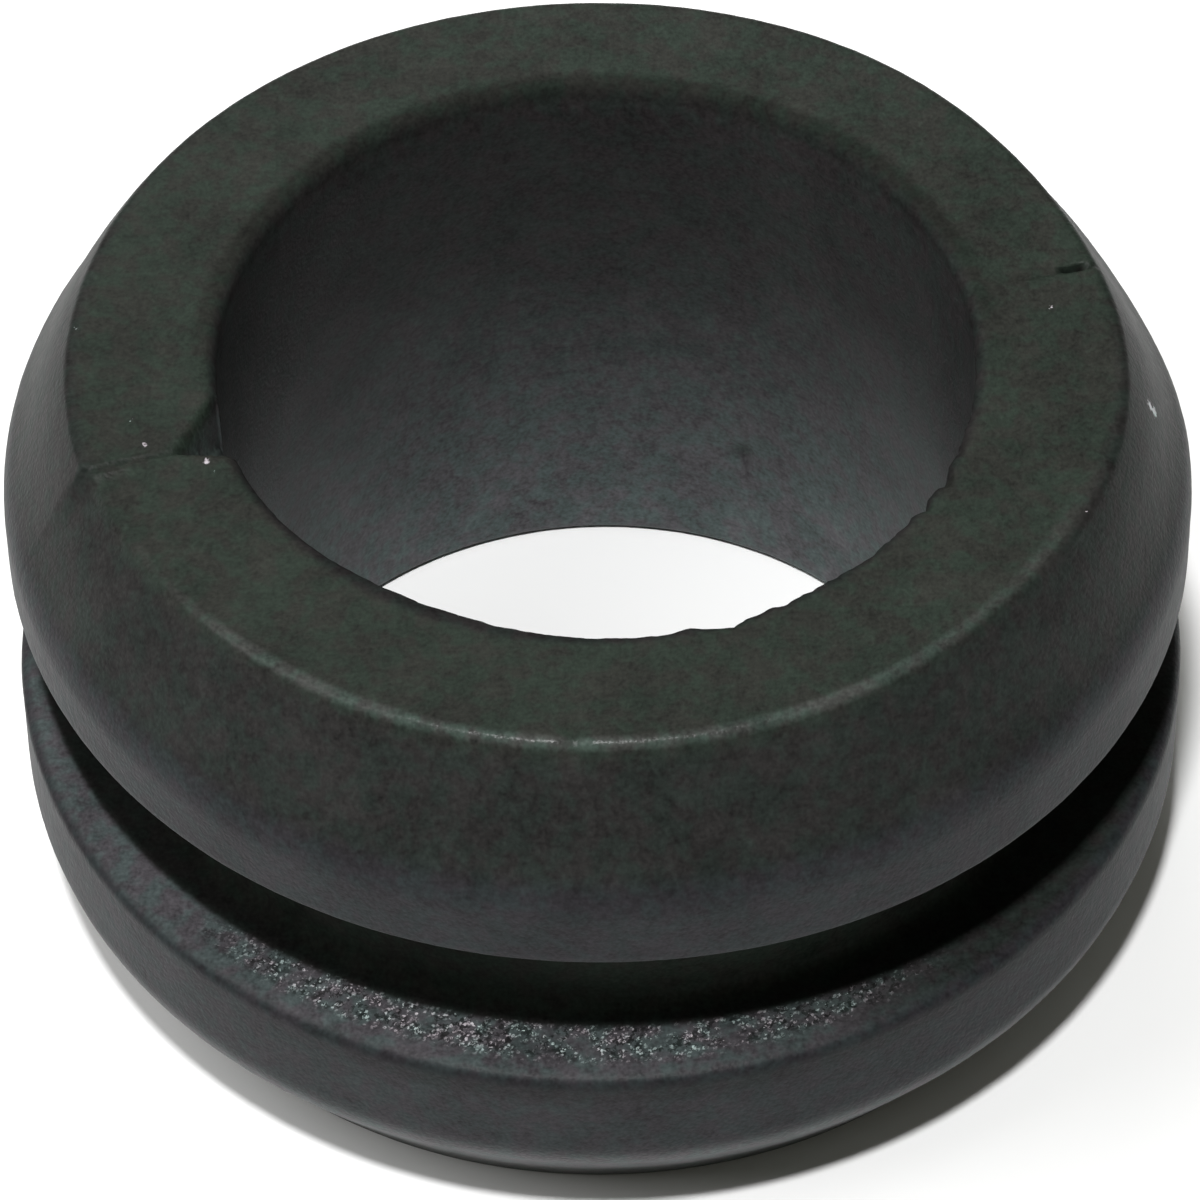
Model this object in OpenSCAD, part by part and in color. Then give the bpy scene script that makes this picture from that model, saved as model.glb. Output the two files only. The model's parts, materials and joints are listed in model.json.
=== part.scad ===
// Moulded rubber grommet. Two flanges with bevelled ends grip the edge of a
// round panel hole in the groove between them, and a hose or cable runs
// through the bore. The bore's axis is Z and the bottom end lies on Z = 0.

/* [Diameters] */
// Bore that the hose or cable runs through
bore_d = 18.8; // [14:0.1:22]
// Outside of both flanges
flange_d = 30; // [28:0.1:40]
// Floor of the groove, the size of the panel hole
groove_d = 25; // [23:0.1:27]
// Flat face at the top end
top_face_d = 25.6; // [23:0.1:28]
// Flat face at the bottom end
bottom_face_d = 25.6; // [23:0.1:28]

/* [Heights] */
// Bevel below the top face
top_bevel_h = 3.5; // [2:0.1:6]
// Straight rim of the top flange
top_rim_h = 1.9; // [1.2:0.1:4]
// Groove between the flanges, the thickness of the panel
groove_w = 4.7; // [1.5:0.1:8]
// Straight rim of the bottom flange
bottom_rim_h = 3.2; // [1.4:0.1:6]
// Bevel above the bottom face
bottom_bevel_h = 3.4; // [2:0.1:6]

/* [Rounded edges] */
// Round between the top rim and its bevel
top_rim_r = 1.8; // [0.2:0.1:2.5]
// Round between the bottom rim and its bevel
bottom_rim_r = 2; // [0.2:0.1:2.5]
// Round at the outside of each end face
face_edge_r = 0.3; // [0.1:0.05:0.6]
// Round at each end of the bore
bore_edge_r = 0.35; // [0.05:0.05:0.5]
// Round on each flange at the mouth of the groove
groove_lip_r = 0.25; // [0.1:0.05:0.5]
// Fillet along each inner corner of the groove
groove_root_r = 0.4; // [0.1:0.05:0.7]

/* [Mould seam] */
// Turn of the mould's parting plane from the X axis
seam_turn = 14.5; // [0:0.1:90]
// Distance of the parting plane from the bore's axis
seam_offset = 0.35; // [0:0.05:2]

/* [Nick at the bore's end of the seam] */
// Length of the nick along the bore, behind the seam
nick_back = 1.7; // [0.3:0.1:3]
// Length of the nick along the bore, in front of the seam
nick_front = 0.6; // [0.3:0.1:2]
// Reach of the nick outwards from the bore
nick_reach = 1.4; // [0.3:0.1:1.6]
// Depth of the nick below the top face
nick_depth = 1.1; // [0.3:0.1:3]

/* [Gash at the outer end of the seam] */
// Length of the gash along the seam
gash_len = 0.8; // [0.3:0.1:1.5]
// Width of the gash at its middle
gash_w = 0.35; // [0.2:0.05:0.6]
// Depth of the gash below the top face
gash_depth = 0.4; // [0.2:0.05:1]
// Land between the gash and the outer edge of the face
gash_land = 0.2; // [0.2:0.05:1]

/* [Hidden] */
$fn = 96;

groove_bottom_z = bottom_bevel_h + bottom_rim_h;
groove_top_z = groove_bottom_z + groove_w;
top_rim_z = groove_top_z + top_rim_h;
body_h = top_rim_z + top_bevel_h;
// How far a cutter runs past the surface that it cuts
overrun = 1;

// Corners of the section, as radius, height and the radius of the round there
section = [
    [bore_d / 2, 0, bore_edge_r],
    [bottom_face_d / 2, 0, face_edge_r],
    [flange_d / 2, bottom_bevel_h, bottom_rim_r],
    [flange_d / 2, groove_bottom_z, groove_lip_r],
    [groove_d / 2, groove_bottom_z, groove_root_r],
    [groove_d / 2, groove_top_z, groove_root_r],
    [flange_d / 2, groove_top_z, groove_lip_r],
    [flange_d / 2, top_rim_z, top_rim_r],
    [top_face_d / 2, body_h, face_edge_r],
    [bore_d / 2, body_h, bore_edge_r]
];

function corner(i) = [for (k = [0, 1]) section[(i + len(section)) % len(section)][k]];
function along(from, to) = (to - from) / norm(to - from);
// The section runs anticlockwise, so an inner corner turns the other way
function turns_inwards(i) = cross(along(corner(i - 1), corner(i)), along(corner(i), corner(i + 1))) < 0;

// The piece between a sharp corner and the round that is tangent to both sides
module spandrel(i) {
    to_last = along(corner(i), corner(i - 1));
    to_next = along(corner(i), corner(i + 1));
    half_angle = acos(to_last * to_next) / 2;
    round_r = section[i][2];
    run = round_r / tan(half_angle);
    difference() {
        polygon([corner(i), corner(i) + run * to_last, corner(i) + run * to_next]);
        translate(corner(i) + along([0, 0], to_last + to_next) * round_r / sin(half_angle))
            circle(r = round_r);
    }
}

module rounded_section() {
    difference() {
        union() {
            polygon([for (i = [0 : len(section) - 1]) corner(i)]);
            for (i = [0 : len(section) - 1]) if (turns_inwards(i)) spandrel(i);
        }
        for (i = [0 : len(section) - 1]) if (!turns_inwards(i)) spandrel(i);
    }
}

// A wedge torn from the top edge of the bore where the mould halves meet
module seam_nick() {
    rotate([0, 0, 180 + seam_turn])
        translate([bore_d / 2, seam_offset, body_h - nick_depth])
            linear_extrude(nick_depth + overrun)
                polygon([
                    [-overrun, nick_front],
                    [-overrun, -nick_back],
                    [0, -nick_back],
                    [nick_reach, 0],
                    [0, nick_front]
                ]);
}

// A short cut in the top face, on the same seam across the bore
module seam_gash() {
    rotate([0, 0, seam_turn])
        translate([top_face_d / 2 - gash_land - gash_len / 2, -seam_offset, body_h - gash_depth])
            linear_extrude(gash_depth + overrun)
                polygon([[-gash_len / 2, 0], [0, -gash_w / 2], [gash_len / 2, 0], [0, gash_w / 2]]);
}

module grommet() {
    color([0.21, 0.22, 0.21]) difference() {
        rotate_extrude() rounded_section();
        seam_nick();
        seam_gash();
    }
}

grommet();
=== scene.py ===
import json
import math
from types import SimpleNamespace

import bmesh
import bpy
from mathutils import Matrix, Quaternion, Vector, noise


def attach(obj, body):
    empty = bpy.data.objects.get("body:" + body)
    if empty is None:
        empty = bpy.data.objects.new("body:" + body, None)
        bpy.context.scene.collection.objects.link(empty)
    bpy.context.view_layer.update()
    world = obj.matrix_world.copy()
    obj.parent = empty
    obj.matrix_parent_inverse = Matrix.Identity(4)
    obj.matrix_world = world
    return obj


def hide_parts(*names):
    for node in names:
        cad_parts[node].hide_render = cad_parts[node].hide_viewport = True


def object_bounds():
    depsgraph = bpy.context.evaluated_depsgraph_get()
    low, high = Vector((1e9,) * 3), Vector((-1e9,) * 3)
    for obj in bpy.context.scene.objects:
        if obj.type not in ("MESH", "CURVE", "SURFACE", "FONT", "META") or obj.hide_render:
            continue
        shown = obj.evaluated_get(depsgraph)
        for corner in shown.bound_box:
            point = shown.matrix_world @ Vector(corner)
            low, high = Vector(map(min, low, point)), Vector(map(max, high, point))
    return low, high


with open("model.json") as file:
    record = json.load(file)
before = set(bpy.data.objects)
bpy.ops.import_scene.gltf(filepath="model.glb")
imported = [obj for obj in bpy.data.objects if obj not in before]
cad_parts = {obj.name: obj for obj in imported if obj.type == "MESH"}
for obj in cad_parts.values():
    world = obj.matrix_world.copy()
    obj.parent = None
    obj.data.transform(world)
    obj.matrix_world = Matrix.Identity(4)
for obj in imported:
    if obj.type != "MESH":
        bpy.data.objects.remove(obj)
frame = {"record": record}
cadLow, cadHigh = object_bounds()

mm = 0.001
up = Vector((0, 0, 1))


def mountOf(name):
    return next(m for m in frame["record"]["mounts"] if m["name"] == name)


# camera: the place and lens that the circles of the photo ask for
view = {
    "aimHeight": 7.58 * mm,
    "distance": 186 * mm,
    "elevation": 47.9,
    "roll": -0.9,
    "lens": 216.8,
    "sensor": 36,
}


def addCamera():
    camera = bpy.data.objects.new("camera", bpy.data.cameras.new("camera"))
    bpy.context.scene.collection.objects.link(camera)
    rise = math.radians(view["elevation"])
    back = Vector((0, -math.cos(rise), math.sin(rise)))
    camera.location = up * view["aimHeight"] + back * view["distance"]
    camera.rotation_mode = "QUATERNION"
    level = (-back).to_track_quat("-Z", "Y")
    camera.rotation_quaternion = level @ Quaternion((0, 0, 1), math.radians(view["roll"]))
    camera.data.lens = view["lens"]
    camera.data.sensor_width = view["sensor"]
    camera.data.clip_start = view["distance"] / 50
    camera.data.clip_end = view["distance"] * 50
    bpy.context.scene.camera = camera


addCamera()
print("camera placed")


# rubber ring: sizes that the frame gives
boreRadius = mountOf("bore")["dims"]["r_mm"] * mm
grooveRadius = mountOf("panel_groove")["dims"]["r_mm"] * mm
grooveWidth = mountOf("panel_groove")["dims"]["length_mm"] * mm
grooveMiddle = mountOf("panel_groove")["pos_m"][2]
grooveLow = grooveMiddle - grooveWidth / 2
grooveHigh = grooveMiddle + grooveWidth / 2
outerRadius = min(cadHigh.x, cadHigh.y, -cadLow.x, -cadLow.y)
height = cadHigh.z

ring = {
    "faceRadius": 12.8 * mm,     # outer edge of both end faces
    "topBevel": 3.5 * mm,
    "bottomBevel": 3.4 * mm,
    "steps": 480,                # meridians round the bore
}

topRim = height - ring["topBevel"]

# the same sizes in mm, for the marks and the rubber's tones
inMm = SimpleNamespace(
    bore=boreRadius / mm,
    root=grooveRadius / mm,      # floor of the groove
    crease=ring["faceRadius"] / mm,
    rim=outerRadius / mm,
    ledge=grooveLow / mm,        # lower side of the groove
    lip=grooveHigh / mm,         # upper side of the groove
    topRim=topRim / mm,
    top=height / mm,
)

# corners of the section: radius, height, round, segments, spacing of the rings up to the next corner
corners = [
    (boreRadius, 0, 0.35 * mm, 4, 0.60 * mm),
    (ring["faceRadius"], 0, 0.3 * mm, 4, 0.45 * mm),
    (outerRadius, ring["bottomBevel"], 2.0 * mm, 7, 0.24 * mm),
    (outerRadius, grooveLow, 0.35 * mm, 3, 0.11 * mm),
    (grooveRadius, grooveLow, 0.4 * mm, 3, 0.60 * mm),
    (grooveRadius, grooveHigh, 0.4 * mm, 3, 0.60 * mm),
    (outerRadius, grooveHigh, 0.12 * mm, 3, 0.24 * mm),
    (outerRadius, topRim, 1.8 * mm, 6, 0.16 * mm),
    (ring["faceRadius"], height, 0.3 * mm, 4, 0.13 * mm),
    (boreRadius, height, 0.35 * mm, 6, 0.45 * mm),
]


def corner(i):
    return Vector(corners[i % len(corners)][:2])


def halfAngle(i):
    return (corner(i - 1) - corner(i)).angle(corner(i + 1) - corner(i)) / 2


def sectionPoint(vert):
    return Vector((vert.co.xy.length, vert.co.z))


def spinSection(bm):
    outline = [bm.verts.new((corner(i).x, 0, corner(i).y)) for i in range(len(corners))]
    edges = [bm.edges.new((outline[i - 1], outline[i])) for i in range(len(outline))]
    bmesh.ops.spin(bm, geom=outline + edges, cent=(0, 0, 0), axis=up, angle=math.tau,
                   steps=ring["steps"], use_merge=True)
    bmesh.ops.remove_doubles(bm, verts=bm.verts, dist=0.001 * mm)


def roundCorner(bm, i):
    near = 0.01 * mm
    circle = [e for e in bm.edges if all((sectionPoint(v) - corner(i)).length < near for v in e.verts)]
    bmesh.ops.bevel(bm, geom=circle, offset=corners[i][2] / math.tan(halfAngle(i)), offset_type="OFFSET",
                    segments=corners[i][3], profile=0.5, affect="EDGES", material=-1)


def addRings(bm, i):
    start = corner(i)
    along = (corner(i + 1) - start).normalized()
    near = 0.01 * mm
    spacing = corners[i][4]
    bands = []
    for e in bm.edges:
        a, b = (sectionPoint(v) - start for v in e.verts)
        flat = abs(a.cross(along)) < near and abs(b.cross(along)) < near
        if flat and abs((a - b).dot(along)) > spacing:
            bands.append(e)
    if bands:
        cuts = max(1, round(bands[0].calc_length() / spacing) - 1)
        bmesh.ops.subdivide_edges(bm, edges=bands, cuts=cuts, use_grid_fill=True)


# seam: where the mould's halves met, with the nick and the gash that it left
seam = {
    "turn": math.radians(14.5),
    "offset": 0.35,              # mm from the bore's axis to the parting plane
    "cutLines": (-0.2, -0.13, -0.06, 0.0, 0.06, 0.13, 0.2),
    "slip": -0.12,               # mm, back half against front half
    "line": 0.09,                # mm, width of the parting line's groove
    "depthLeft": 0.07,
    "depthRight": 0.05,
    "depthElsewhere": 0.006,
    "gashStart": 11.9,
    "gashEnd": 12.6,
    "gashWidth": 0.16,
    "gashDepth": 0.42,
}

seamAlong = Vector((math.cos(seam["turn"]), math.sin(seam["turn"]), 0))
seamAcross = Vector((-math.sin(seam["turn"]), math.cos(seam["turn"]), 0))

nick = {
    "backLength": 1.75,          # mm along the bore behind the seam
    "frontLength": 0.6,
    "reach": 1.4,
    "depth": 1.15,
    "backSlope": 3.2,
    "frontSlope": 1.5,
    "below": 3.4,                # mm of bore wall that follows the nick down
}

# bites in the top edge of the bore: azimuth in degrees, width and depth in mm
boreBites = [
    (-118.0, 0.60, 0.05), (-106.0, 0.50, 0.04), (-76.5, 0.50, -0.10), (-71.2, 0.90, 0.17),
    (-66.0, 0.30, 0.06), (-62.0, 0.30, 0.05), (-45.5, 0.50, 0.09), (-38.0, 0.50, 0.06),
    (-33.5, 0.45, 0.16), (-27.5, 0.60, 0.18), (-21.0, 0.40, 0.07), (-12.0, 0.45, 0.06),
    (63.0, 1.60, 0.05), (96.0, 1.80, 0.04), (128.0, 1.60, 0.04),
]

wear = {
    "wobble": 0.035,             # mm, slow unevenness of the moulding
    "grain": 0.012,
    "coarse": 0.05,              # roughness of the ground face under the groove
    "softEnd": -126.0,           # the front half's worn edge runs from the left seam to here, in degrees
    "softDepth": 0.23,
    "softReach": 1.35,
    "creaseNickAt": -92.9,
    "creaseNickDepth": 0.15,
    "creaseNickWidth": 0.20,
    "grow": 0.08,                # the face's edge lies out by this
    "oval": 0.14,                # and is wider from side to side than from front to back
    "bulgeAt": -18.0,            # full stretch in front of the right seam
    "bulge": 0.22,
    "bulgeWidth": 26.0,
    "rearAt": 135.0,             # and a slight one at the back
    "rearFull": 0.07,
    "rearWidth": 45.0,
    "flatAt": 28.0,              # flattened stretch behind it
    "flatDepth": 0.21,
    "flatWidth": 22.0,
    "sag": 0.12,                 # the upper flange's lower lip hangs down by this
    "sagAt": -10.0,              # and by more towards the right
    "sagMore": 0.46,
    "sagWidth": 60.0,
    "rimFlatAt": 23.0,
    "rimFlatDepth": 0.32,
    "rimFlatWidth": 16.0,
    "boreLip": 0.09,             # the bore's top edge leans in along the front
    "boreLipAt": -80.0,
    "boreLipWidth": 75.0,
    "boreLipLeft": 0.28,         # more so at the front left
    "boreLipLeftAt": -117.0,
    "boreLipLeftWidth": 22.0,
    "boreRear": 0.13,            # and is worn back along the rear
    "boreRearAt": 95.0,
    "boreRearWidth": 80.0,
    "ragged": 0.05,              # small raggedness of that edge, most at the right front
    "raggedFine": 0.04,
    "raggedAt": -50.0,
    "raggedWidth": 45.0,
    "pitAt": 65.9,               # small pit in the bore's wall
    "pitHeight": 3.8,
    "pitLength": 0.42,
    "pitTall": 0.32,
    "pitDepth": 0.22,
}


def smooth(low, high, x):
    t = min(1.0, max(0.0, (x - low) / (high - low)))
    return t * t * (3 - 2 * t)


def hump(x, width):
    return math.exp(-(x / width) ** 2)


def turnBetween(a, b):
    return (a - b + 180) % 360 - 180


def nickDepth(q, behind):
    # plan of the nick: a wedge from the bore's edge to its tip at the seam
    tip = Vector((nick["reach"], -0.15))
    backEnd = Vector((0, nick["backLength"]))
    frontEnd = Vector((0, -nick["frontLength"]))
    here = Vector((q, behind))
    insideBack = (tip - backEnd).normalized().cross(here - backEnd)
    insideFront = (frontEnd - tip).normalized().cross(here - tip)
    deep = min(-insideBack * nick["backSlope"], -insideFront * nick["frontSlope"])
    return min(max(deep, 0.0), nick["depth"])


def humpAt(azimuth, at, width):
    # hump round the ring, all in degrees
    return hump(turnBetween(azimuth, wear[at]), wear[width])


def faceWiden(azimuth):
    # the top face's outer edge isn't quite round
    widen = wear["grow"] + wear["oval"] * math.cos(2 * math.radians(azimuth))
    widen += wear["bulge"] * humpAt(azimuth, "bulgeAt", "bulgeWidth")
    widen += wear["rearFull"] * humpAt(azimuth, "rearAt", "rearWidth")
    return widen - wear["flatDepth"] * humpAt(azimuth, "flatAt", "flatWidth")


def boreRagged(azimuth):
    # how far the bore's top edge lies out from the true circle
    ragged = wear["boreRear"] * humpAt(azimuth, "boreRearAt", "boreRearWidth")
    ragged -= wear["boreLip"] * humpAt(azimuth, "boreLipAt", "boreLipWidth")
    ragged -= wear["boreLipLeft"] * humpAt(azimuth, "boreLipLeftAt", "boreLipLeftWidth")
    for at, width, depth in boreBites:
        ragged += depth * hump(math.radians(turnBetween(azimuth, at)) * inMm.bore, width * 0.5)
    rough = 0.35 + 0.65 * humpAt(azimuth, "raggedAt", "raggedWidth")
    ragged += wear["ragged"] * rough * noise.noise(Vector((azimuth * 0.3, 0, 4)))
    return ragged + wear["raggedFine"] * rough * noise.noise(Vector((azimuth * 0.9, 5, 4)))


def marked(point, normal):
    # point in mm; returns it with the marks of the mould and of wear
    radius = point.xy.length
    azimuth = math.degrees(math.atan2(point.y, point.x))
    outward = Vector((point.x, point.y, 0)) / radius
    behind = point.dot(seamAcross) + seam["offset"]
    leftSide = point.dot(seamAlong) < 0
    top, rim, crease, bore = inMm.top, inMm.rim, inMm.crease, inMm.bore
    onTop = smooth(top - 0.25, top - 0.02, point.z) * (1 if radius < crease + 0.1 else 0)
    onBase = 1 - smooth(0.0, 0.3, point.z)
    moved = point.copy()

    # slow unevenness and grain, always inwards so that the box holds
    slow = 0.5 + 0.5 * noise.noise(point * 0.22 + Vector((3, 7, 1)))
    middle = 0.5 + 0.5 * noise.noise(point * 0.9 + Vector((9, 2, 5)))
    fine = 0.5 + 0.5 * noise.noise(point * 3.6 + Vector((1, 4, 8)))
    inward = wear["wobble"] * (0.6 * slow + 0.4 * middle) + wear["grain"] * fine
    groundFace = smooth(13.0, 13.4, radius) * (1 - smooth(0.0, 0.35, abs(point.z - inMm.ledge)))
    crumbs = 0.5 + 0.5 * noise.noise(point * 4.5 + Vector((2, 2, 6)))
    inward += wear["coarse"] * groundFace * crumbs
    moved -= normal * inward * (1 - 0.8 * onBase)

    # parting line
    if onTop:
        depth = seam["depthLeft"]
        if not leftSide:
            depth = seam["depthRight"] * (0.4 + 1.1 * middle) * smooth(bore + 0.9, bore + 1.7, radius)
    else:
        depth = seam["depthElsewhere"]
    wander = 0.05 * noise.noise(point * 1.1)
    moved -= normal * depth * hump(behind + wander, seam["line"])

    # the face's edge isn't quite round
    if point.z > inMm.topRim and radius > bore + 1:
        spread = smooth(bore + 1, crease - 0.4, radius) * (1 - smooth(crease + 0.3, rim - 0.2, radius))
        moved += outward * faceWiden(azimuth) * spread
    if point.z > inMm.lip - 0.1 and radius > bore + 1:
        rimFlat = wear["rimFlatDepth"] * humpAt(azimuth, "rimFlatAt", "rimFlatWidth")
        moved -= outward * rimFlat * smooth(crease - 0.2, rim - 0.5, radius)

    # the upper flange's lip sags over the groove
    lip, root = inMm.lip, inMm.root
    if point.z > lip - 0.1 and radius > root + 0.2:
        sag = wear["sag"] + wear["sagMore"] * humpAt(azimuth, "sagAt", "sagWidth")
        moved.z -= sag * smooth(root + 0.2, rim - 0.6, radius) * (1 - smooth(lip, inMm.topRim, point.z))

    # slip of the back half against the front half, none at the rims or the bore
    upper = smooth(lip, inMm.topRim, point.z) * smooth(bore + 0.6, bore + 2.2, radius)
    room = min(1.0, max(0.0, (rim - 0.15 - radius) / (rim - crease)))
    soft = 0.04 + 0.2 * smooth(crease - 0.3, crease + 0.6, radius)
    slip = seam["slip"] * (1 if leftSide else 0.35)
    moved += seamAlong * slip * upper * room * smooth(-soft, soft, behind)

    # gash at the right end of the seam
    if onTop and not leftSide:
        middleOf = (seam["gashStart"] + seam["gashEnd"]) / 2
        halfLength = (seam["gashEnd"] - seam["gashStart"]) / 2
        run = (point.dot(seamAlong) - middleOf) / halfLength
        if abs(run) < 1.0:
            taper = 1 - run * run
            moved.z -= seam["gashDepth"] * taper * hump(behind - 0.03, seam["gashWidth"] * 0.5)

    # worn edge of the front half, from the left seam round to the front
    if point.z > inMm.topRim and radius > bore + 1:
        away = (Vector((radius, point.z)) - Vector((crease, top))).length
        lap = smooth(wear["softEnd"], wear["softEnd"] - 22, azimuth)
        front = smooth(0.04, -0.5, behind) if leftSide else 0.0
        if azimuth < 0:
            moved -= normal * wear["softDepth"] * lap * front * hump(away, wear["softReach"])
        nickTurn = math.radians(turnBetween(azimuth, wear["creaseNickAt"])) * crease
        across = hump(nickTurn, wear["creaseNickWidth"]) * hump(away, 0.45)
        moved -= normal * wear["creaseNickDepth"] * across

    # ragged top edge of the bore
    edge = smooth(bore + 0.6, bore, radius) * smooth(top - 0.9, top - 0.2, point.z)
    if edge > 0:
        ragged = boreRagged(azimuth)
        moved += outward * ragged * edge
        moved.z -= 0.5 * max(0.0, ragged) * edge

    # nick at the left end of the seam
    if leftSide and -3 < behind < 4 and radius < bore + 2 and point.z > top - nick["below"]:
        torn = 1 + 0.22 * noise.noise(point * 2.6 + Vector((4, 0, 0)))
        if onTop:
            moved.z -= nickDepth(radius - bore, behind) * torn
        else:
            sink = nickDepth(0.12, behind) * torn
            moved.z -= sink * smooth(top - nick["below"], top, point.z)

    # small pit in the bore's wall
    if radius < bore + 0.05:
        pit = hump(math.radians(turnBetween(azimuth, wear["pitAt"])) * bore, wear["pitLength"])
        moved += outward * wear["pitDepth"] * pit * hump(point.z - wear["pitHeight"], wear["pitTall"])

    # nothing leaves the box of the part
    if moved.xy.length > rim:
        moved.xy *= rim / moved.xy.length
    moved.z = min(max(moved.z, 0.0), top)
    return moved


def mouldedRing():
    bm = bmesh.new()
    spinSection(bm)
    for i in range(len(corners)):
        roundCorner(bm, i)
    for i in range(len(corners)):
        addRings(bm, i)
    print("section turned:", len(bm.verts), "vertices")
    for line in seam["cutLines"]:
        bmesh.ops.bisect_plane(bm, geom=bm.verts[:] + bm.edges[:] + bm.faces[:], dist=0.004 * mm,
                               plane_co=seamAcross * (line - seam["offset"]) * mm, plane_no=seamAcross)
    bmesh.ops.recalc_face_normals(bm, faces=bm.faces)
    bm.normal_update()
    places = [marked(v.co / mm, v.normal) * mm for v in bm.verts]
    for v, place in zip(bm.verts, places):
        v.co = place
    bmesh.ops.recalc_face_normals(bm, faces=bm.faces)
    return bm


def addPiece(name, bm, mat):
    mesh = bpy.data.meshes.new(name)
    bm.to_mesh(mesh)
    bm.free()
    mesh.shade_smooth()
    mesh.materials.append(mat)
    piece = bpy.data.objects.new(name, mesh)
    bpy.context.scene.collection.objects.link(piece)
    return piece


# rubber: a dull black compound; several of its tones are painted light and shade
rubber = {
    "colour": (0.0185, 0.0230, 0.0182, 1),
    # painted light: the end face's tone towards the back
    "litBackFace": (0.0225, 0.0272, 0.0225, 1),
    # painted shade: the bevels' darker tone
    "sides": (0.0172, 0.0192, 0.0176, 1),
    # painted light and shade: the rims' darker bluish tone
    "rims": (0.0184, 0.0200, 0.0222, 1),
    # painted shade and light: the bore's wall, dark at the top and light at the foot
    "boreTopShade": (0.0232, 0.0240, 0.0236, 1),
    "boreFootLight": (0.068, 0.077, 0.079, 1),
    # pale tone: painted light on the lower rim, the foot and the left bevel, and the nick's pale walls
    "paleAndPaintedLight": (0.062, 0.065, 0.068, 1),
    # dark tone: the parting line and pits, and painted shade elsewhere
    "cut": (0.006, 0.007, 0.006, 1),
    # painted highlight along the front edge of the top face
    "polishAndHighlight": (0.045, 0.054, 0.048, 1),
    # painted light: the ledge's tone where the key lamp reaches it
    "litLedge": (0.054, 0.058, 0.061, 1),
    # bright tone for dust flecks and for painted glints on the ledge
    "dustAndGlint": (0.42, 0.44, 0.45, 1),
    "warm": (1.10, 0.95, 1.00, 1),
    "cool": (0.90, 1.05, 1.00, 1),
    "mottle": 3.0,
    "roughness": 0.40,           # where the spots are least
    "roughSpots": 0.16,
    "gloss": 0.115,
    "bumpHeight": 0.03 * mm,
    "crumbScale": 9.2,           # crumbs to the mm on the ground face
    "crumbJitter": 0.22,         # mm that they lie off their grid
    "ledgeShadowCentre": (0.25, 1.72, 0),
    "ledgeShadowRadius": 15.0,        # the ledge is painted lit outside this circle, the upper flange's shadow, in mm
}

# how strongly each mark covers the tone under it
strength = {
    "litLowRim": 0.11,
    "litFoot": 0.92,
    "shadedSides": 0.16,
    "leftBevel": 0.03,
    "line": 0.60,
    "gash": 0.85,
    "nick": 0.45,
    "boreEdgeShade": 0.48,
    "grooveShade": 0.50,
    "underRidge": 0.40,
    "pits": 0.75,
}

# mm from where a mark starts to show to where it is full
fades = {
    "litBack": (2.0, 14.0),          # y
    "rearEdge": (-2.0, 5.0),          # y
    "highlightFront": (-3.0, -13.2),   # y
    "footLow": (1.4, 2.0),            # height
    "footHigh": (3.8, 3.2),           # height
    "lowRimRight": (6.0, -2.0),       # x
    "lowRimLeft": (-14.0, -11.0),     # x
    "lowRimBack": (2.0, -4.0),        # y
    "shadedOut": (8.0, 13.0),         # x, either way
    "shadedBack": (-6.0, 0.0),        # y
    "bevelLeft": (-6.0, -11.0),       # x
    "nickInner": (-9.0, -9.4),        # along the seam
    "nickOuter": (-11.2, -10.6),      # along the seam
    "crumbsFront": (-9.0, -11.0),     # y
    "crumbsRight": (9.2, 6.4),        # x
    "brightRight": (11.0, 1.0),       # x
    "brightLeft": (-11.0, -7.0),      # x
    "grooveLeft": (2.0, -4.0),        # x
    "ridgeLeft": (-10.0, -4.0),       # x
    "litFront": (4.0, -4.0),          # y
    "litRight": (10.5, 2.0),          # x
}

# bright flecks: place in mm and size
flecks = [
    ((-11.06, -2.83, 16.67), 0.09), ((-9.60, -3.45, 16.62), 0.10), ((-9.42, -3.72, 16.65), 0.04),
    ((-11.51, -1.96, 16.68), 0.03), ((-12.90, 1.17, 16.6), 0.05), ((11.81, -5.56, 16.62), 0.035),
    ((13.70, -1.04, 15.58), 0.19), ((13.82, -1.03, 15.36), 0.19), ((11.37, 1.36, 16.68), 0.02),
]


def feed(tree, socket, value):
    if isinstance(value, bpy.types.NodeSocket):
        tree.links.new(value, socket)
    else:
        socket.default_value = value


def addNode(tree, kind, **inputs):
    made = tree.nodes.new(kind)
    for name, value in inputs.items():
        feed(tree, made.inputs[name], value)
    return made


def calc(tree, operation, a, b=0.0, clamp=False):
    made = tree.nodes.new("ShaderNodeMath")
    made.operation = operation
    made.use_clamp = clamp
    feed(tree, made.inputs[0], a)
    feed(tree, made.inputs[1], b)
    return made.outputs[0]


def vectorCalc(tree, operation, *values):
    made = tree.nodes.new("ShaderNodeVectorMath")
    made.operation = operation
    for socket, value in zip(made.inputs, values):
        feed(tree, socket, value)
    return made.outputs


def product(tree, *masks):
    out = masks[0]
    for mask in masks[1:]:
        out = calc(tree, "MULTIPLY", out, mask)
    return out


def weighted(tree, *parts):
    shares = [calc(tree, "MULTIPLY", value, weight) for value, weight in parts]
    out = shares[0]
    for share in shares[1:]:
        out = calc(tree, "ADD", out, share)
    return out


def between(tree, value, low, high):
    made = tree.nodes.new("ShaderNodeMapRange")
    made.interpolation_type = "SMOOTHSTEP"
    tree.links.new(value, made.inputs["Value"])
    made.inputs["From Min"].default_value = low
    made.inputs["From Max"].default_value = high
    return made.outputs["Result"]


def fade(tree, value, name):
    return between(tree, value, *fades[name])


def band(tree, value, low, high, soft):
    rise = between(tree, value, low - soft, low + soft)
    fall = between(tree, value, high + soft, high - soft)
    return calc(tree, "MULTIPLY", rise, fall)


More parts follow.
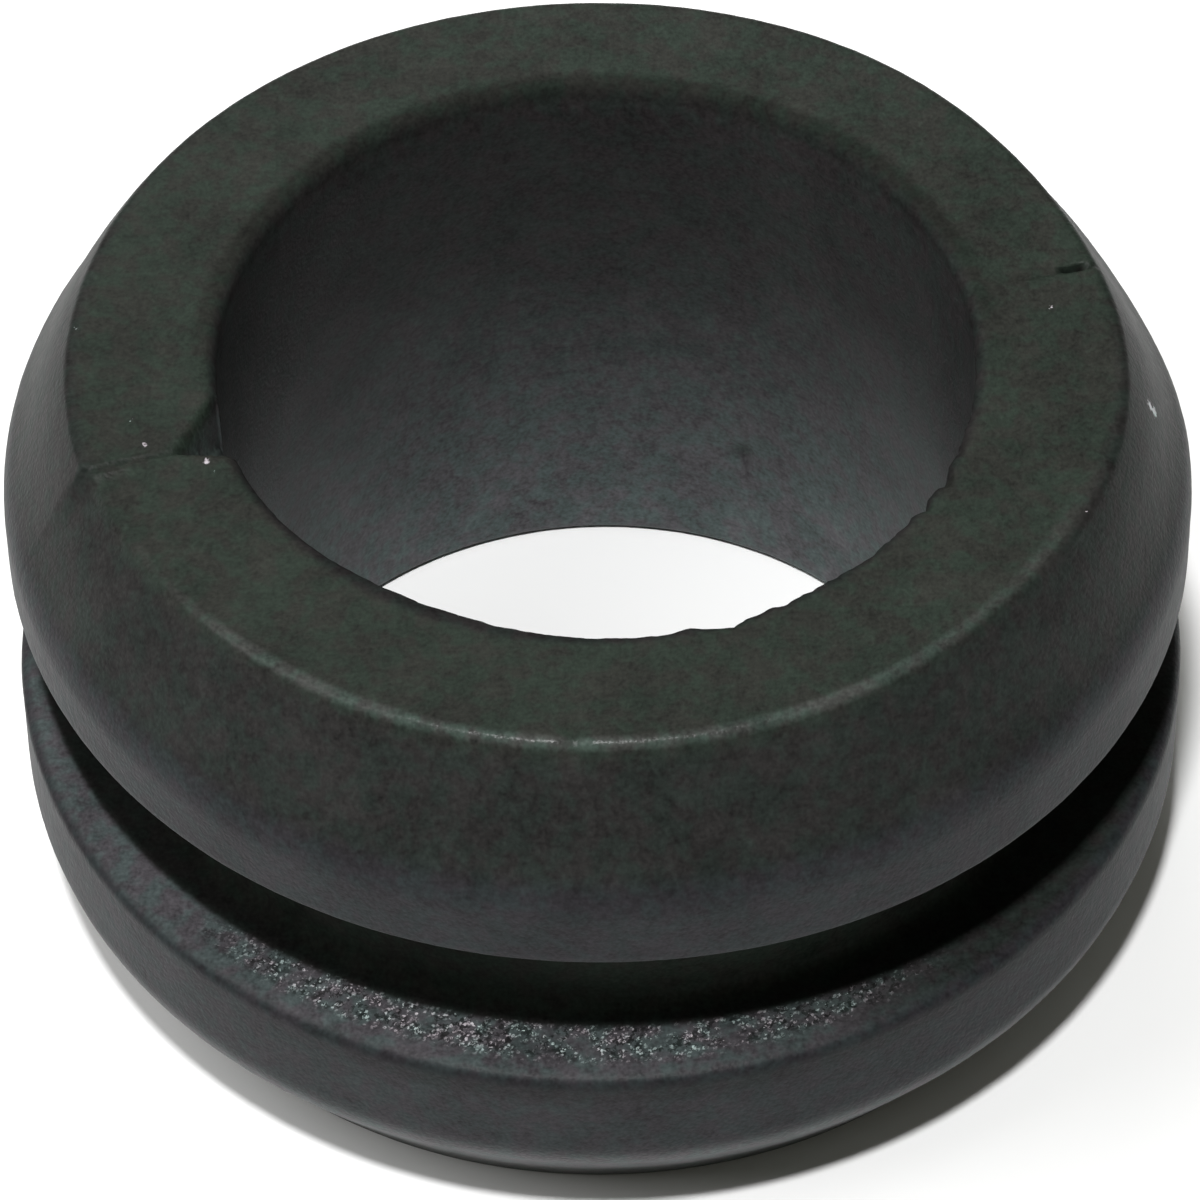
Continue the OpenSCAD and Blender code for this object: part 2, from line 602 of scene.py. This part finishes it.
def tint(tree, mask, under, over, amount=1.0):
    if amount < 1.0:
        mask = calc(tree, "MULTIPLY", mask, amount)
    made = tree.nodes.new("ShaderNodeMix")
    made.data_type = "RGBA"
    feed(tree, made.inputs[0], mask)
    feed(tree, made.inputs[6], under)
    feed(tree, made.inputs[7], over)
    return made.outputs[2]


def noiseAt(tree, place, scale, detail=2.0):
    made = addNode(tree, "ShaderNodeTexNoise", Vector=place, Scale=scale, Detail=detail)
    return made.outputs["Fac"]


def placeOnRing(tree):
    # place in mm, with its radius, its distances behind and along the seam, and the noise there
    coord = tree.nodes.new("ShaderNodeTexCoord")
    scaled = addNode(tree, "ShaderNodeMapping", Vector=coord.outputs["Object"], Scale=(1 / mm,) * 3)
    place = scaled.outputs["Vector"]
    x, y, z = addNode(tree, "ShaderNodeSeparateXYZ", Vector=place).outputs
    flat = addNode(tree, "ShaderNodeCombineXYZ", X=x, Y=y).outputs["Vector"]
    across = weighted(tree, (x, seamAcross.x), (y, seamAcross.y))
    return SimpleNamespace(
        place=place, flat=flat, x=x, y=y, z=z,
        radius=vectorCalc(tree, "LENGTH", flat)["Value"],
        behind=calc(tree, "ADD", across, seam["offset"]),
        run=weighted(tree, (x, seamAlong.x), (y, seamAlong.y)),
        clouds=noiseAt(tree, place, 0.55, 3.0),
        spots=noiseAt(tree, place, 3.4),
        grain=noiseAt(tree, place, 9.0, 1.0),
    )


def plainTones(tree, at):
    # end face, bevels, bore and rims
    # painted light: the end face a little lighter towards the back
    face = tint(tree, fade(tree, at.y, "litBack"), rubber["colour"], rubber["litBackFace"])
    # painted shade: the bevels a tone darker than the end face
    bevels = between(tree, at.radius, inMm.crease - 0.1, inMm.crease + 0.4)
    colour = tint(tree, bevels, face, rubber["sides"])
    # painted shade and light: the bore's wall dark at the top, lighter and bluish towards the foot, where
    # the floor lights it
    wall = tint(tree, between(tree, at.z, inMm.top - 4, 0.5), rubber["boreTopShade"], rubber["boreFootLight"])
    colour = tint(tree, insideBore(tree, at), colour, wall)
    # painted light and shade: the rims darker and bluish, standing in for the floor's bounce light
    rims = between(tree, at.radius, inMm.rim - 0.5, inMm.rim - 0.1)
    colour = tint(tree, rims, colour, rubber["rims"])

    # painted light: the lower rim lighter at the left, and the bevel at the foot lighter as a painted
    # reflection of the lit floor
    litLowRim = product(tree, rims, band(tree, at.z, 3.0, inMm.ledge - 0.5, 0.3),
                     fade(tree, at.x, "lowRimRight"), fade(tree, at.x, "lowRimLeft"),
                     fade(tree, at.y, "lowRimBack"))
    colour = tint(tree, litLowRim, colour, rubber["paleAndPaintedLight"], strength["litLowRim"])
    litFoot = product(tree, fade(tree, at.z, "footLow"), fade(tree, at.z, "footHigh"),
                   between(tree, at.radius, inMm.crease + 0.5, inMm.crease + 0.8))
    colour = tint(tree, litFoot, colour, rubber["paleAndPaintedLight"], strength["litFoot"])

    # painted shade: the top bevel is darker at both sides
    outside = product(tree, between(tree, at.radius, inMm.crease, inMm.crease + 0.4),
                      fade(tree, at.y, "shadedBack"), fade(tree, calc(tree, "ABSOLUTE", at.x), "shadedOut"),
                      between(tree, at.z, inMm.lip, inMm.topRim))
    return tint(tree, outside, colour, rubber["cut"], strength["shadedSides"])


def insideBore(tree, at):
    return between(tree, at.radius, inMm.bore + 0.36, inMm.bore + 0.04)


def seamTones(tree, at, colour):
    # painted sheen: the bevel lighter on the back half of the left side, as far as the seam
    leftBevel = product(tree, between(tree, at.behind, -0.05, 0.05), fade(tree, at.x, "bevelLeft"),
                        band(tree, at.z, inMm.topRim + 0.3, inMm.top - 0.15, 0.25),
                        between(tree, at.radius, inMm.crease - 0.1, inMm.crease + 0.2))
    colour = tint(tree, leftBevel, colour, rubber["paleAndPaintedLight"], strength["leftBevel"])

    # dark parting line, painted shade in the gash, and the pale walls of the nick
    line = product(tree, between(tree, calc(tree, "ABSOLUTE", at.behind), 0.16, 0.03),
                   between(tree, at.z, inMm.top - 1.2, inMm.top - 0.4),
                   between(tree, at.radius, inMm.bore + 0.9, inMm.bore + 1.7),
                   between(tree, at.spots, 0.42, 0.62))
    colour = tint(tree, line, colour, rubber["cut"], strength["line"])
    gash = product(tree, band(tree, at.run, seam["gashStart"], seam["gashEnd"], 0.12),
                   band(tree, at.behind, -0.07, 0.13, 0.04))
    colour = tint(tree, gash, colour, rubber["cut"], strength["gash"])
    inNick = product(tree, fade(tree, at.run, "nickInner"), fade(tree, at.run, "nickOuter"),
                     band(tree, at.behind, -0.6, 1.5, 0.2),
                     between(tree, at.z, inMm.top - 0.15, inMm.top - 0.6))
    return tint(tree, inNick, colour, rubber["paleAndPaintedLight"], strength["nick"])


def boreEdge(tree, at):
    # painted shade on the top edge of the bore, wider round the rear
    nearTop = between(tree, at.z, inMm.top - 0.7, inMm.top - 0.3)
    allRound = product(tree, insideBore(tree, at), nearTop)
    rear = product(tree, fade(tree, at.y, "rearEdge"),
                   between(tree, at.radius, inMm.bore + 0.85, inMm.bore + 0.45), nearTop)
    return calc(tree, "MAXIMUM", allRound, rear)


def polishedEdgeAndHighlight(tree, at):
    # edge of the top face along the front, polished, with a painted highlight
    out = calc(tree, "POWER", calc(tree, "SUBTRACT", at.radius, inMm.crease - 0.06), 2.0)
    down = calc(tree, "POWER", calc(tree, "SUBTRACT", at.z, inMm.top - 0.08), 2.0)
    fromEdge = calc(tree, "SQRT", calc(tree, "ADD", out, down))
    alongEdge = noiseAt(tree, at.place, 0.8, 3.0)
    return product(tree, between(tree, fromEdge, 0.26, 0.06), fade(tree, at.y, "highlightFront"),
                   between(tree, alongEdge, 0.18, 0.52))


def grooveMasks(tree, at):
    # ledge under the groove, its painted lit part outside the upper flange's shadow circle, and painted
    # shade at the foot of the groove at the left
    ledge = product(tree, between(tree, at.z, inMm.ledge - 0.35, inMm.ledge - 0.1),
                    between(tree, at.z, inMm.lip, inMm.ledge + 0.5))
    fromCentre = vectorCalc(tree, "DISTANCE", at.flat, rubber["ledgeShadowCentre"])["Value"]
    litLedge = product(tree, ledge, between(tree, fromCentre, rubber["ledgeShadowRadius"] - 0.12,
                                          rubber["ledgeShadowRadius"] + 0.06))
    grooveShade = product(tree, ledge, fade(tree, at.x, "grooveLeft"), calc(tree, "SUBTRACT", 1.0, litLedge),
                         between(tree, at.radius, inMm.root - 0.3, inMm.root))
    patches = noiseAt(tree, at.place, 1.3)
    crumbsAndGlints = product(tree, litLedge, fade(tree, at.y, "crumbsFront"), fade(tree, at.x, "crumbsRight"),
                       between(tree, at.radius, inMm.rim - 0.5, inMm.rim - 0.95),
                       between(tree, patches, 0.28, 0.46))
    return litLedge, grooveShade, crumbsAndGlints


def grooveTones(tree, at, colour, litLedge, grooveShade, crumbsAndGlints):
    # painted light: the ledge lighter outside the shadow circle, at the front and less to the right
    lit = product(tree, litLedge, fade(tree, at.y, "litFront"), fade(tree, at.x, "litRight"),
                  between(tree, at.radius, inMm.rim - 0.02, inMm.rim - 0.4))
    colour = tint(tree, lit, colour, rubber["litLedge"])
    # painted shade at the foot of the groove on the left, inside the shadow circle
    colour = tint(tree, grooveShade, colour, rubber["cut"], strength["grooveShade"])
    # painted shade: a dark band along the top of the lower flange's outer wall, just under the ledge's
    # edge, at the front
    underRidge = product(tree, band(tree, at.z, inMm.ledge - 0.85, inMm.ledge - 0.3, 0.2),
                         between(tree, at.radius, inMm.rim - 0.3, inMm.rim - 0.1),
                         fade(tree, at.y, "litFront"), fade(tree, at.x, "ridgeLeft"))
    colour = tint(tree, underRidge, colour, rubber["cut"], strength["underRidge"])

    # each cell is a crumb or a pit by its own lot
    jitter = noiseAt(tree, at.place, rubber["crumbScale"] * 1.6, 1.0)
    shifted = vectorCalc(tree, "MULTIPLY_ADD", jitter, (rubber["crumbJitter"],) * 3, at.place)["Vector"]
    cells = addNode(tree, "ShaderNodeTexVoronoi", Vector=shifted, Scale=rubber["crumbScale"])
    lots = addNode(tree, "ShaderNodeSeparateColor", Color=cells.outputs["Color"]).outputs
    pits = product(tree, crumbsAndGlints, between(tree, lots[1], 0.55, 0.75))
    colour = tint(tree, pits, colour, rubber["cut"], strength["pits"])
    # bright specks: partly grit, partly painted glint, only where the ledge is painted lit
    reach = calc(tree, "SUBTRACT", cells.outputs["Distance"], calc(tree, "MULTIPLY", lots[2], 0.35))
    bright = product(tree, crumbsAndGlints, between(tree, reach, 0.38, 0.12), between(tree, lots[0], 0.36, 1.05),
                     fade(tree, at.x, "brightRight"), fade(tree, at.x, "brightLeft"))
    return tint(tree, bright, colour, rubber["dustAndGlint"])


def fleckTones(tree, at, colour):
    # bright flecks where the photo shows them
    crumbs = noiseAt(tree, at.place, rubber["crumbScale"])
    ragged = calc(tree, "MULTIPLY", calc(tree, "SUBTRACT", crumbs, 0.5), 0.35)
    for spot, size in flecks:
        far = calc(tree, "ADD", vectorCalc(tree, "DISTANCE", at.place, spot)["Value"], ragged)
        colour = tint(tree, between(tree, far, size, size * 0.35), colour, rubber["dustAndGlint"])
    return colour


def mottled(tree, at, colour):
    # the mottling shades every tone and gives it a warm or a cool cast
    blotches = weighted(tree, (at.clouds, 0.3), (at.spots, 0.35), (at.grain, 0.35))
    shade = calc(tree, "MULTIPLY", calc(tree, "SUBTRACT", blotches, 0.5), rubber["mottle"])
    castNoise = noiseAt(tree, at.place, 1.7)
    cast = tint(tree, between(tree, castNoise, 0.38, 0.62), rubber["warm"], rubber["cool"])
    tinged = vectorCalc(tree, "MULTIPLY", colour, cast)["Vector"]
    return vectorCalc(tree, "MULTIPLY", tinged, calc(tree, "ADD", 1.0, shade))["Vector"]


def rubberMaterial():
    mat = bpy.data.materials.new("rubber")
    mat.use_nodes = True
    tree = mat.node_tree
    shader = tree.nodes["Principled BSDF"]
    shader.inputs["Specular IOR Level"].default_value = rubber["gloss"]

    at = placeOnRing(tree)
    boreEdgeShade = boreEdge(tree, at)
    polishAndHighlight = polishedEdgeAndHighlight(tree, at)
    litLedge, grooveShade, crumbsAndGlints = grooveMasks(tree, at)

    colour = plainTones(tree, at)
    colour = seamTones(tree, at, colour)
    colour = tint(tree, boreEdgeShade, colour, rubber["cut"], strength["boreEdgeShade"])
    colour = tint(tree, polishAndHighlight, colour, rubber["polishAndHighlight"])
    colour = grooveTones(tree, at, colour, litLedge, grooveShade, crumbsAndGlints)
    colour = fleckTones(tree, at, colour)
    tree.links.new(mottled(tree, at, colour), shader.inputs["Base Color"])

    # smoother along the polished front edge and on the crumbs, dull where shade is painted
    rough = calc(tree, "ADD", rubber["roughness"], calc(tree, "MULTIPLY", at.spots, rubber["roughSpots"]))
    rough = calc(tree, "SUBTRACT", rough, calc(tree, "MULTIPLY", polishAndHighlight, 0.18))
    rough = calc(tree, "SUBTRACT", rough, calc(tree, "MULTIPLY", crumbsAndGlints, 0.1))
    dull = calc(tree, "MAXIMUM", grooveShade, boreEdgeShade)
    rough = calc(tree, "ADD", rough, calc(tree, "MULTIPLY", dull, 0.5), clamp=True)
    tree.links.new(rough, shader.inputs["Roughness"])

    # fine grain everywhere
    relief = weighted(tree, (at.grain, 0.6), (at.spots, 0.5))
    bump = addNode(tree, "ShaderNodeBump", Height=relief, Distance=rubber["bumpHeight"], Strength=0.8)
    tree.links.new(bump.outputs["Normal"], shader.inputs["Normal"])
    return mat


rubberRing = addPiece("rubber_ring", mouldedRing(), rubberMaterial())
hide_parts("grommet")
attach(rubberRing, "root")
print("ring moulded:", len(rubberRing.data.polygons), "faces,",
      sum(len(p.vertices) - 2 for p in rubberRing.data.polygons), "triangles")


# studio: pale floor, white surroundings and three plain lamps
studio = {
    "floorSize": 3.0,
    "floorColour": (0.99, 0.99, 0.99, 1),
    "ambient": (1.0, 1.0, 0.86, 1),
    "ambientStrength": 0.10,
}

# lamp: azimuth from the front towards +X and elevation in degrees, distance and size in m, power in W
lamps = {
    "keyLamp": (-9, 68.5, 0.6, 0.045, 3.1),
    "backLamp": (-166, 50, 0.16, 0.12, 0.055),
    "leftLamp": (-84, 46, 0.8, 0.62, 3.2),
}


def addFloor():
    bm = bmesh.new()
    bmesh.ops.create_grid(bm, x_segments=1, y_segments=1, size=studio["floorSize"] / 2)
    mat = bpy.data.materials.new("pale_floor")
    mat.use_nodes = True
    shader = mat.node_tree.nodes["Principled BSDF"]
    shader.inputs["Base Color"].default_value = studio["floorColour"]
    shader.inputs["Roughness"].default_value = 0.9
    addPiece("floor", bm, mat)


def addLamp(name, azimuth, elevation, distance, size, power):
    lamp = bpy.data.lights.new(name, "AREA")
    lamp.shape = "DISK"
    lamp.size = size
    lamp.energy = power
    obj = bpy.data.objects.new(name, lamp)
    bpy.context.scene.collection.objects.link(obj)
    a, e = math.radians(azimuth), math.radians(elevation)
    way = Vector((math.sin(a) * math.cos(e), -math.cos(a) * math.cos(e), math.sin(e)))
    obj.location = way * distance
    obj.rotation_mode = "QUATERNION"
    obj.rotation_quaternion = way.to_track_quat("Z", "Y")


def lightWorld():
    world = bpy.data.worlds.new("studio")
    bpy.context.scene.world = world
    world.use_nodes = True
    tree = world.node_tree
    tree.nodes.clear()
    ambient = addNode(tree, "ShaderNodeBackground", Color=studio["ambient"],
                      Strength=studio["ambientStrength"])
    white = addNode(tree, "ShaderNodeBackground", Color=(1, 1, 1, 1), Strength=1.0)
    rays = tree.nodes.new("ShaderNodeLightPath")
    mix = tree.nodes.new("ShaderNodeMixShader")
    output = tree.nodes.new("ShaderNodeOutputWorld")
    tree.links.new(rays.outputs["Is Camera Ray"], mix.inputs["Fac"])
    tree.links.new(ambient.outputs[0], mix.inputs[1])
    tree.links.new(white.outputs[0], mix.inputs[2])
    tree.links.new(mix.outputs[0], output.inputs["Surface"])


addFloor()
lightWorld()
for name, settings in lamps.items():
    addLamp(name, *settings)
bpy.context.scene.view_settings.view_transform = "Standard"
print("studio lit")
